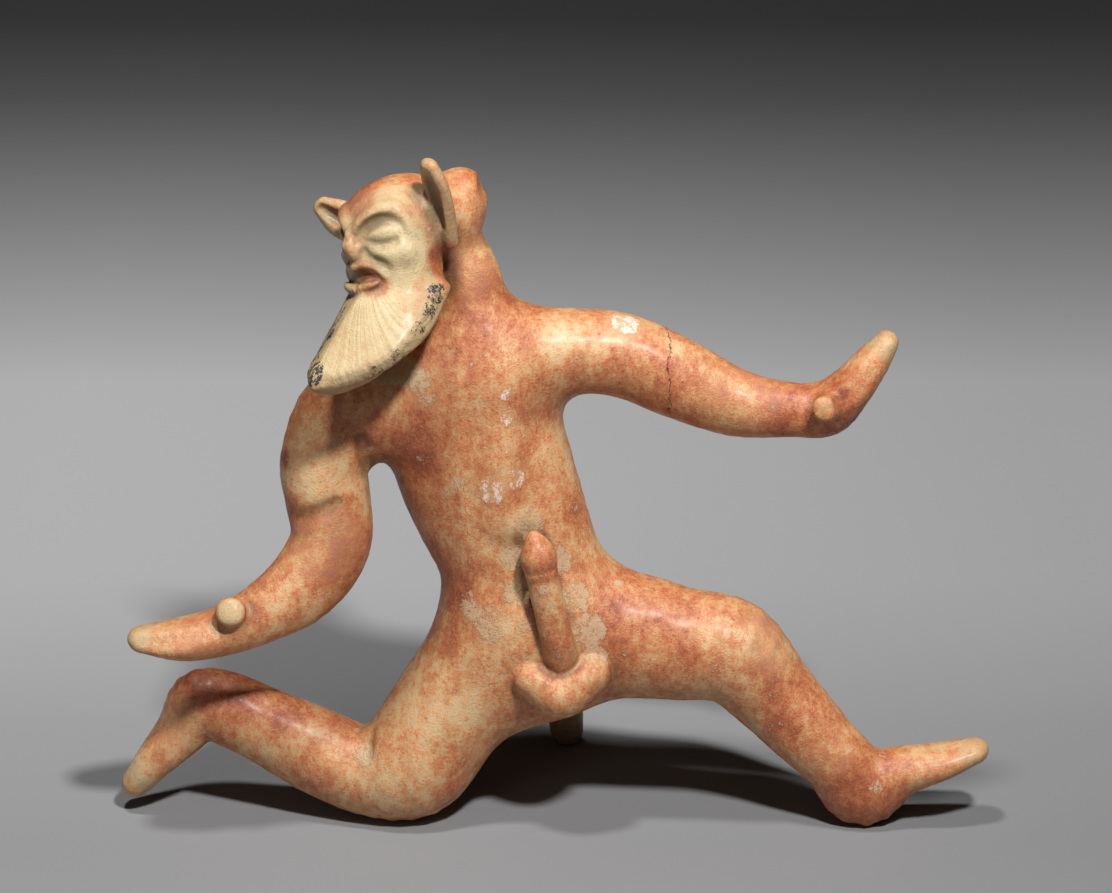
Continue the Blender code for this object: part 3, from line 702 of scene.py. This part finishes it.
def small_forms(points):
    """Which points lie on the head, on the applied lumps or on the stubs of the thumbs."""
    on_head = seen_on_head(points)
    head = (on_head[:, 0] > HEAD_BACK) & (on_head[:, 2] > HEAD_LOWEST)
    head &= (np.abs(on_head[:, 1]) < HEAD_HALF_WIDTH) & (points[:, 2] > SHOULDER_HEIGHT)
    lumps = (np.abs(points[:, 0]) < LUMPS_HALF_WIDTH) & (points[:, 1] < LUMPS_BACK)
    lumps &= np.abs(points[:, 2] - LUMPS_MIDDLE) < LUMPS_HALF_HEIGHT
    stubs = np.zeros(len(points), bool)
    for middle in STUB_MIDDLES:
        stubs |= ((points - middle) ** 2).sum(1) < STUB_REACH**2
    return head | lumps | stubs


def rise(values, start, span):
    """0 up to start, then a straight rise to 1 over the span."""
    return np.clip((values - start) / span, 0.0, 1.0)


def hollows(rolls, points, outward):
    """How far the clay closes round each point, from 0 on a flat or a rise to 1 in a deep seam."""
    away = outward / np.maximum(np.linalg.norm(outward, axis=1), LEAST_OUTWARD)[:, None]
    hollow = np.zeros(len(points))
    for step in FEELERS:
        value, _ = clay(rolls, points + away * step)
        hollow = np.maximum(hollow, rise(1.0 - value / step, HOLLOW_START, HOLLOW_SPAN))
    return hollow


def bare_mask(points, on_head):
    """The face and beard, where the slip has gone, fading at the temples, the ears and the brows."""
    forward, sideways, upward = on_head.T
    mask = rise(forward, FACE_START, FACE_FADE) * (points[:, 2] > FACE_LOWEST) * (upward < FACE_TOP)
    mask *= rise(FACE_HALF_WIDTH - np.abs(sideways), 0.0, FACE_SIDE_FADE) * (points[:, 0] < FACE_LAST_X)
    return mask * (1.0 - BROW_SLIP * rise(upward, BROW_SLIP_START, BROW_SLIP_FADE))


def keep_as(mesh, name, values):
    """Stores one number for each point, for the material to read."""
    attribute = mesh.attributes.new(name, "FLOAT", "POINT")
    attribute.data.foreach_set("value", values.astype(np.float32))


# Colours and nodes


def linear(code):
    """An sRGB hex colour as the linear colour that a shader takes."""
    channels = [int(code[n : n + 2], 16) / 255 for n in (1, 3, 5)]
    return tuple(c / 12.92 if c <= 0.04045 else ((c + 0.055) / 1.055) ** 2.4 for c in channels) + (1.0,)


def add(tree, kind, settings=None, stops=(), **sockets):
    """Adds a node, with its settings, its ramp's stops, and what its sockets hold or are linked to.

    A socket goes by its name, or by its number as i0, i1 and so on.
    """
    node = tree.nodes.new(kind)
    for name, value in (settings or {}).items():
        setattr(node, name, value)
    for n, (position, colour) in enumerate(stops):
        elements = node.color_ramp.elements
        element = elements[n] if n < len(elements) else elements.new(position)
        element.position = position
        element.color = colour
    for name, value in sockets.items():
        key = int(name[1:]) if name[0] == "i" and name[1:].isdigit() else name.replace("_", " ")
        if isinstance(value, bpy.types.NodeSocket):
            tree.links.new(value, node.inputs[key])
        else:
            node.inputs[key].default_value = value
    return node


ZONES = ("seam_shade_and_tail_end", "buff", "paint", "strand", "hair", "crust", "haze", "crack", "painted_highlight_and_gloss", "tone")
# The clay's colours that aren't in the sidebar.
BLOOM = linear("#D2A88A")
BUFF_SHADES = (
    (0.1, linear("#D6BE92")), (0.38, linear("#CDB183")), (0.6, linear("#C39065")), (0.9, linear("#AE6949")),
)
FURROW_BROWN = linear("#A58A5E")
SANDY = linear("#CBB08B")
# The near-white of the painted highlight.
HIGHLIGHT_WHITE = linear("#F4E6D2")
OLD_BLACK = linear("#2F3236")
IRON_SPECK = linear("#6B3D26")
CRACK_BROWN = linear("#4A2C18")


def clay_material():
    """Low-fired terracotta, hand-rolled and burnished, under a thin worn red-orange slip.

    The slip is mottled from the firing and from wear: buff where it has gone,
    red-brown where it is thick. Handling has left it smooth with a soft sheen.
    """
    material = bpy.data.materials.new("worn slip on terracotta")
    material.use_nodes = True
    tree = material.node_tree
    tree.nodes.clear()
    place = add(tree, "ShaderNodeTexCoord").outputs["Object"]

    def blotches(size_mm, detail, rough, offset, stretch=(1.0, 1.0, 1.0)):
        """Cloudy blotches of a size, drawn from a part of the noise that the others don't use."""
        moved = add(tree, "ShaderNodeMapping", Vector=place, Location=offset, Scale=stretch)
        return add(
            tree, "ShaderNodeTexNoise", Vector=moved.outputs[0], Scale=1.0 / (size_mm * MM),
            Detail=detail, Roughness=rough,
        ).outputs["Fac"]

    def weighed(start, *parts):
        """The sum of patterns, each times its weight."""
        total = start
        for pattern, weight in parts:
            total = add(
                tree, "ShaderNodeMath", {"operation": "MULTIPLY_ADD"}, i0=pattern, i1=weight, i2=total
            ).outputs[0]
        return total

    def both(first, second):
        """Where two patterns overlap."""
        return add(tree, "ShaderNodeMath", {"operation": "MULTIPLY"}, i0=first, i1=second).outputs[0]

    def patches(low, high, *parts, ends=(0.0, 1.0)):
        """Soft-edged patches, which start where the weighed patterns reach low and are full at high."""
        return add(
            tree, "ShaderNodeMapRange", {"clamp": True, "interpolation_type": "SMOOTHSTEP"},
            Value=weighed(0.0, *parts), From_Min=low, From_Max=high, To_Min=ends[0], To_Max=ends[1],
        ).outputs[0]

    def over(under, cover, most, shade):
        """A colour laid over another, at most so densely."""
        return add(
            tree, "ShaderNodeMix", {"data_type": "RGBA", "blend_type": "MIX"},
            i0=both(cover, most), i6=under, i7=shade,
        ).outputs[2]

    looks = bpy.context.scene.satyr_clay
    chosen = (looks.slip, looks.thick_slip, looks.dark_slip, looks.bare_clay, looks.pale_clay, looks.seam_shade_and_tail_end)
    slip, thick, dark, bare, pale, seam_shade_and_tail_brown = (tuple(shade) + (1.0,) for shade in chosen)
    zone = {
        name: add(tree, "ShaderNodeAttribute", {"attribute_name": name}).outputs["Fac"] for name in ZONES
    }
    # Firing clouds, slip that ran along the roll, brush and thumb wear, and the clay's grit.
    large = blotches(11.0, 6.0, 0.6, (0.0, 0.0, 0.0))
    middle = blotches(4.2, 8.0, 0.7, (0.3, 0.1, 0.2), (1.0, 1.0, 0.7))
    small = blotches(1.2, 6.0, 0.75, (0.7, 0.4, 0.9), (1.0, 1.0, 0.7))
    fine = blotches(0.4, 3.0, 0.7, (0.2, 0.8, 0.5))

    slip_left = weighed(-1.86, (large, 0.9), (middle, 1.4), (small, 1.55), (fine, 0.9), (zone["tone"], 0.24))
    slip_shades = ((0.0, pale), (0.3, bare), (0.5, slip), (0.75, thick), (1.0, dark))
    colour = add(tree, "ShaderNodeValToRGB", stops=slip_shades, Fac=slip_left).outputs["Color"]
    bloom = patches(1.65, 2.35, (zone["haze"], 0.5), (middle, 1.2), (small, 1.2), (fine, 0.4))
    colour = over(colour, bloom, 0.6, BLOOM)

    warmth = weighed(-1.3, (large, 0.7), (middle, 1.2), (small, 1.1), (fine, 0.5), (zone["tone"], 0.4))
    buff_clay = add(tree, "ShaderNodeValToRGB", stops=BUFF_SHADES, Fac=warmth).outputs["Color"]
    buff = patches(1.75, 2.05, (zone["buff"], 1.0), (large, 0.6), (middle, 1.4), (small, 1.0))
    colour = over(colour, buff, 1.0, buff_clay)
    strands = add(
        tree, "ShaderNodeTexNoise", {"noise_dimensions": "1D"}, W=zone["strand"], Scale=1.0, Detail=3.0
    ).outputs["Fac"]
    hair = both(strands, zone["hair"])
    colour = over(colour, patches(0.3, 0.75, (hair, 1.0)), 0.4, FURROW_BROWN)

    # Painted shade: seams and hollows are darkened with a brown where less light reaches, and the end of the
    # tail with it.
    colour = over(colour, zone["seam_shade_and_tail_end"], 0.6, seam_shade_and_tail_brown)
    crust = patches(2.78, 2.96, (zone["crust"], 0.6), (middle, 2.0), (small, 2.2), (fine, 0.6))
    colour = over(colour, crust, 0.7, SANDY)
    # Painted highlight: a near-white laid in broken patches over the breast ridge, the belly and the raised
    # shoulder.
    highlight_patches = patches(2.1, 2.35, (zone["painted_highlight_and_gloss"], 0.6), (middle, 1.0), (small, 1.6), (fine, 0.6))
    colour = over(colour, highlight_patches, 0.75, HIGHLIGHT_WHITE)
    flakes = weighed(0.0, (small, 0.6), (fine, 0.4))
    colour = over(colour, patches(0.47, 0.52, (both(zone["paint"], flakes), 1.0)), 1.0, OLD_BLACK)
    colour = over(colour, patches(0.6, 0.72, (fine, 1.0)), 0.35, IRON_SPECK)
    grime = patches(0.36, 0.6, (small, 0.5), (fine, 0.5), ends=(0.78, 1.06))
    colour = add(
        tree, "ShaderNodeMix", {"data_type": "RGBA", "blend_type": "MULTIPLY"}, i0=1.0, i6=colour, i7=grime
    ).outputs[2]

    # The crack wanders to both sides of its line, and is missing in places.
    across = add(tree, "ShaderNodeSeparateXYZ", Vector=place).outputs["X"]
    broad, slight = CRACK_BENDS
    middle_line = -(ARM_CRACK + 0.5 * (broad + slight)) * MM
    wander = weighed(middle_line, (across, 1.0), (middle, broad * MM), (small, slight * MM))
    apart = add(tree, "ShaderNodeMath", {"operation": "ABSOLUTE"}, i0=wander).outputs[0]
    line = patches(CRACK_CORE * MM, CRACK_EDGE * MM, (apart, 1.0), ends=(1.0, 0.0))
    crack = both(both(zone["crack"], patches(0.4, 0.5, (small, 1.0))), line)
    colour = over(colour, crack, 1.0, CRACK_BROWN)

    # Burnished where it is red and where the highlight is painted, duller on crust and bare clay.
    rough = weighed(0.12, (middle, 0.7), (crust, 0.25), (zone["buff"], 0.08), (zone["painted_highlight_and_gloss"], -0.15))
    height = weighed(0.0, (small, 0.6), (fine, 0.6), (crust, 0.3), (crack, -1.0), (hair, 0.65))
    relief = add(tree, "ShaderNodeBump", Strength=0.6, Distance=0.4 * MM, Height=height)
    shader = add(
        tree, "ShaderNodeBsdfPrincipled", Base_Color=colour, Roughness=rough, IOR=1.5,
        Coat_Weight=0.12, Coat_Roughness=0.25, Normal=relief.outputs[0],
    )
    add(tree, "ShaderNodeOutputMaterial", Surface=shader.outputs[0])
    return material


class ClayProperties(bpy.types.PropertyGroup):
    """The clay's mesh size, its relief and its colours."""

    skin: FloatProperty(
        name="Skin", description="Size of the skin's faces on the body", default=0.7 * MM,
        min=0.4 * MM, max=2.0 * MM, unit="LENGTH", precision=5,
    )
    finger_marks: FloatProperty(
        name="Finger marks", description="Depth of the dents that fingers left", default=0.35 * MM,
        min=0.0, max=1.0 * MM, unit="LENGTH", precision=5,
    )
    slip: FloatVectorProperty(
        name="Slip", description="Thin orange slip", subtype="COLOR",
        default=linear("#CF8C5A")[:3], min=0.0, max=1.0,
    )
    thick_slip: FloatVectorProperty(
        name="Thick slip", description="Red slip where it lies thick", subtype="COLOR",
        default=linear("#B96842")[:3], min=0.0, max=1.0,
    )
    dark_slip: FloatVectorProperty(
        name="Dark slip", description="Brown flecks in the slip", subtype="COLOR",
        default=linear("#924A2E")[:3], min=0.0, max=1.0,
    )
    bare_clay: FloatVectorProperty(
        name="Bare clay", description="Buff clay where the slip has worn off", subtype="COLOR",
        default=linear("#DDAC7A")[:3], min=0.0, max=1.0,
    )
    pale_clay: FloatVectorProperty(
        name="Pale clay", description="Palest worn clay", subtype="COLOR",
        default=linear("#E5C799")[:3], min=0.0, max=1.0,
    )
    # The brown of the shade painted into seams and hollows, also laid on the end of the tail.
    seam_shade_and_tail_end: FloatVectorProperty(
        name="Dirt", description="Earth left in the seams", subtype="COLOR",
        default=linear("#4A2E1E")[:3], min=0.0, max=1.0,
    )


class StageProperties(bpy.types.PropertyGroup):
    """The camera and the studio."""

    distance: FloatProperty(
        name="Distance", description="From the camera to the figure", default=0.7,
        min=0.2, max=3.0, unit="LENGTH",
    )
    elevation: FloatProperty(
        name="Elevation", description="How far the camera looks down", default=math.radians(20),
        min=0.0, max=math.radians(80), subtype="ANGLE",
    )
    lens: FloatProperty(
        name="Lens", description="Focal length in millimetres", default=143.4, min=20.0, max=300.0,
    )
    key: FloatProperty(
        name="Key light", description="Power of the main light in watts", default=3.95, min=0.0,
    )
    floor: FloatVectorProperty(
        name="Floor", description="Colour of the floor", subtype="COLOR", default=linear("#919192")[:3],
        min=0.0, max=1.0,
    )


class SATYR_OT_figure(bpy.types.Operator):
    """Model the fine clay figure over its plain solid"""

    bl_idname = "satyr.figure"
    bl_label = "Clay Figure"

    def execute(self, context):
        looks = context.scene.satyr_clay
        only(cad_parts["satyr_figure"])
        bpy.ops.object.duplicate()
        figure = context.active_object
        figure.name = "clay_figure"
        # The copy is no node of the frame, so the frame's notes on it come off.
        for key in [key for key in figure.keys() if key.startswith("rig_")]:
            del figure[key]
        figure.data.materials.clear()
        bpy.ops.object.mode_set(mode="EDIT")
        bpy.ops.mesh.select_all(action="SELECT")
        bpy.ops.mesh.remove_doubles(threshold=0.01 * MM)
        bpy.ops.object.mode_set(mode="OBJECT")
        apply_modifier(figure, "REMESH", mode="VOXEL", voxel_size=looks.skin)
        rolls = all_rolls()
        points, _ = run_together(figure.data, rolls, ROUGH_ROUNDS)
        finer_where(figure, small_forms(points))
        points, outward = run_together(figure.data, rolls, FINE_ROUNDS)
        self.keep_zones(figure.data, rolls, points, outward)
        self.leave_marks(figure, looks)
        # The dents don't sink the three resting flats into the floor.
        settled = read_points(figure.data)
        settled[:, 2] = np.maximum(settled[:, 2], 0.0)
        write_points(figure.data, settled)
        bpy.ops.object.shade_smooth()
        figure.data.materials.append(clay_material())
        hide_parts("satyr_figure")
        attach(figure, "root")
        return {"FINISHED"}

    def keep_zones(self, mesh, rolls, points, outward):
        """Stores where the material changes its colour, its gloss and its relief."""
        place = points + TO_ROW
        on_head = seen_on_head(points)
        forward, sideways, upward = on_head.T
        mask = bare_mask(points, on_head)
        crust = within(place, CRUST_PLACES)
        # Painted shade in the seams, weaker where crust covers them.
        seams = hollows(rolls, points, outward) * (1.0 - CRUST_OVER_SEAM_SHADE * np.clip(crust, 0.0, 1.0))
        below_lip = np.maximum(LIP_HEIGHT - upward, 0.0)
        fan = np.arctan2(sideways, FAN_START + np.hypot(below_lip, forward - LIP_FRONT))
        warm = np.maximum(within(place, RED_PLACES), within(on_head, RED_ON_HEAD))
        bare = np.maximum(mask, within(on_head, BUFF_ON_HEAD))
        levels = {
            # Painted shade in the seams, and the darkened end of the tail.
            "seam_shade_and_tail_end": np.maximum(seams, within(place, DARK_TAIL_END)),
            "buff": np.maximum(bare, within(place, BUFF_PLACES)),
            "paint": within(on_head, PAINT_ON_HEAD),
            "strand": FURROWS * fan,
            "hair": rise(below_lip, 0.0, HAIR_FADE) * rise(mask, 0.0, 0.5),
            "crust": crust,
            "haze": within(place, HAZE_PLACES),
            "crack": within(place, CRACK_PLACES),
            # Where the highlight is painted and the clay made glossier.
            "painted_highlight_and_gloss": within(place, PAINTED_HIGHLIGHT_PLACES),
            "tone": warm - within(place, TAN_PLACES),
        }
        for zone in ZONES:
            keep_as(mesh, zone, levels[zone])

    def leave_marks(self, figure, looks):
        """Soft dents from fingers, and a finer unevenness of the rubbed surface."""
        for name, size_mm, share in MARKS:
            cloud = bpy.data.textures.new(name, "CLOUDS")
            cloud.noise_scale = size_mm * MM
            apply_modifier(
                figure, "DISPLACE", texture=cloud, texture_coords="LOCAL",
                strength=share * looks.finger_marks, mid_level=0.5,
            )


# Painted light on the paper, a bright pool a little behind the figure that darkens further back: distance
# behind the figure in metres and share of the floor's colour.
FLOOR_PAINTED_LIGHT = (
    (-0.15, 0.74), (-0.018, 0.82), (0.03, 0.98), (0.097, 1.42), (0.21, 1.86), (0.35, 1.04), (0.43, 0.54),
    (0.51, 0.27), (0.8, 0.2),
)
# Painted light from the left: the share that the paper gains this far to the left of the figure, and loses to
# its right.
PAINTED_SIDE_LIGHT = 0.13
PAINTED_SIDE_LIGHT_AT = 0.1
# The middle of the view, above the origin of the rolls, in millimetres.
AIM_HEIGHT = 65.15
# Each light's name, azimuth and elevation in degrees, distance and width in metres, and share of the key.
LIGHTS = (
    ("key", 19.0, 52.0, 0.6, 0.06, 1.0),
    ("overhead", -35.0, 75.0, 0.6, 0.07, 0.52),
    ("front fill", -30.0, 20.0, 0.9, 0.3, 0.08),
)
AIR_STRENGTH = 0.012


class SATYR_OT_stage(bpy.types.Operator):
    """Set out the pale floor, the soft studio lights and the camera"""

    bl_idname = "satyr.stage"
    bl_label = "Studio"

    def execute(self, context):
        studio = context.scene.satyr_stage
        bpy.ops.object.select_all(action="DESELECT")
        bpy.ops.mesh.primitive_plane_add(size=8.0, location=(0.0, 0.0, 0.0))
        floor = context.active_object
        floor.name = "floor"
        floor.data.materials.append(self.floor_material(studio))
        aim = Vector(TO_ROW * MM) + Vector((0.0, 0.0, AIM_HEIGHT * MM))
        for name, azimuth, elevation, distance, size, share in LIGHTS:
            self.add_light(name, aim, azimuth, elevation, distance, size, share * studio.key)
        world = context.scene.world or bpy.data.worlds.new("studio air")
        context.scene.world = world
        world.use_nodes = True
        air = world.node_tree.nodes["Background"]
        air.inputs["Color"].default_value = linear("#C8CCD2")
        air.inputs["Strength"].default_value = AIR_STRENGTH
        back = Vector((0.0, -math.cos(studio.elevation), math.sin(studio.elevation)))
        bpy.ops.object.camera_add(location=aim + back * studio.distance)
        camera = context.active_object
        camera.rotation_euler = (-back).to_track_quat("-Z", "Y").to_euler()
        camera.data.lens = studio.lens
        camera.data.sensor_width = 36.0
        camera.data.clip_start = 0.01
        camera.data.dof.use_dof = False
        context.scene.camera = camera
        context.scene.view_settings.view_transform = "Standard"
        return {"FINISHED"}

    def floor_material(self, studio):
        """Matt paper, with painted light in its colour: a soft grey gradient, brightest a little behind the
        figure and lighter to the left. Its fibre is too fine to see, and only dulls it.
        """
        material = bpy.data.materials.new("matt paper")
        material.use_nodes = True
        tree = material.node_tree
        shader = tree.nodes["Principled BSDF"]
        shader.inputs["Roughness"].default_value = 0.85
        place = add(tree, "ShaderNodeTexCoord").outputs["Object"]
        parts = add(tree, "ShaderNodeSeparateXYZ", Vector=place).outputs
        nearest, furthest = FLOOR_PAINTED_LIGHT[0][0], FLOOR_PAINTED_LIGHT[-1][0]
        back = add(tree, "ShaderNodeMapRange", Value=parts["Y"], From_Min=nearest, From_Max=furthest)
        painted_falloff = tuple(
            ((distance - nearest) / (furthest - nearest), tuple(share * c for c in studio.floor) + (1.0,))
            for distance, share in FLOOR_PAINTED_LIGHT
        )
        grey = add(tree, "ShaderNodeValToRGB", stops=painted_falloff, Fac=back.outputs[0]).outputs["Color"]
        # Painted light: the paper is lighter to the left and darker to the right.
        side_light_share = add(
            tree, "ShaderNodeMapRange", Value=parts["X"], From_Min=-PAINTED_SIDE_LIGHT_AT, From_Max=PAINTED_SIDE_LIGHT_AT,
            To_Min=1.0 + PAINTED_SIDE_LIGHT, To_Max=1.0 - PAINTED_SIDE_LIGHT,
        ).outputs[0]
        grey = add(
            tree, "ShaderNodeMix", {"data_type": "RGBA", "blend_type": "MULTIPLY"}, i0=1.0, i6=grey, i7=side_light_share
        ).outputs[2]
        tree.links.new(grey, shader.inputs["Base Color"])
        fibre = add(tree, "ShaderNodeTexNoise", Vector=place, Scale=1.0 / (0.6 * MM), Detail=3.0)
        bump = add(tree, "ShaderNodeBump", Strength=0.1, Distance=0.1 * MM, Height=fibre.outputs["Fac"])
        tree.links.new(bump.outputs[0], shader.inputs["Normal"])
        return material

    def add_light(self, name, aim, azimuth, elevation, distance, size, power):
        """An area light that shines at the figure from an azimuth, 0 being the camera's."""
        a, e = math.radians(azimuth), math.radians(elevation)
        way = Vector((math.sin(a) * math.cos(e), -math.cos(a) * math.cos(e), math.sin(e)))
        bpy.ops.object.light_add(type="AREA", location=aim + way * distance)
        light = bpy.context.active_object
        light.name = name
        light.rotation_euler = (-way).to_track_quat("-Z", "Y").to_euler()
        light.data.shape = "DISK"
        light.data.size = size
        light.data.energy = power


class SATYR_PT_panel(bpy.types.Panel):
    """The figure's pieces and the stage, in the sidebar"""

    bl_idname = "SATYR_PT_panel"
    bl_label = "Running Satyr"
    bl_space_type = "VIEW_3D"
    bl_region_type = "UI"
    bl_category = "Running Satyr"

    def draw(self, context):
        for owner in (context.scene.satyr_clay, context.scene.satyr_stage):
            box = self.layout.box()
            for name in owner.__annotations__:
                box.prop(owner, name)
        self.layout.operator("satyr.figure")
        self.layout.operator("satyr.stage")


CLASSES = (ClayProperties, StageProperties, SATYR_OT_figure, SATYR_OT_stage, SATYR_PT_panel)


def register():
    for kind in CLASSES:
        bpy.utils.register_class(kind)
    bpy.types.Scene.satyr_clay = PointerProperty(type=ClayProperties)
    bpy.types.Scene.satyr_stage = PointerProperty(type=StageProperties)


def unregister():
    del bpy.types.Scene.satyr_stage
    del bpy.types.Scene.satyr_clay
    for kind in reversed(CLASSES):
        bpy.utils.unregister_class(kind)


def main():
    register()
    bpy.ops.satyr.figure()
    bpy.ops.satyr.stage()


if __name__ == "__main__":
    main()
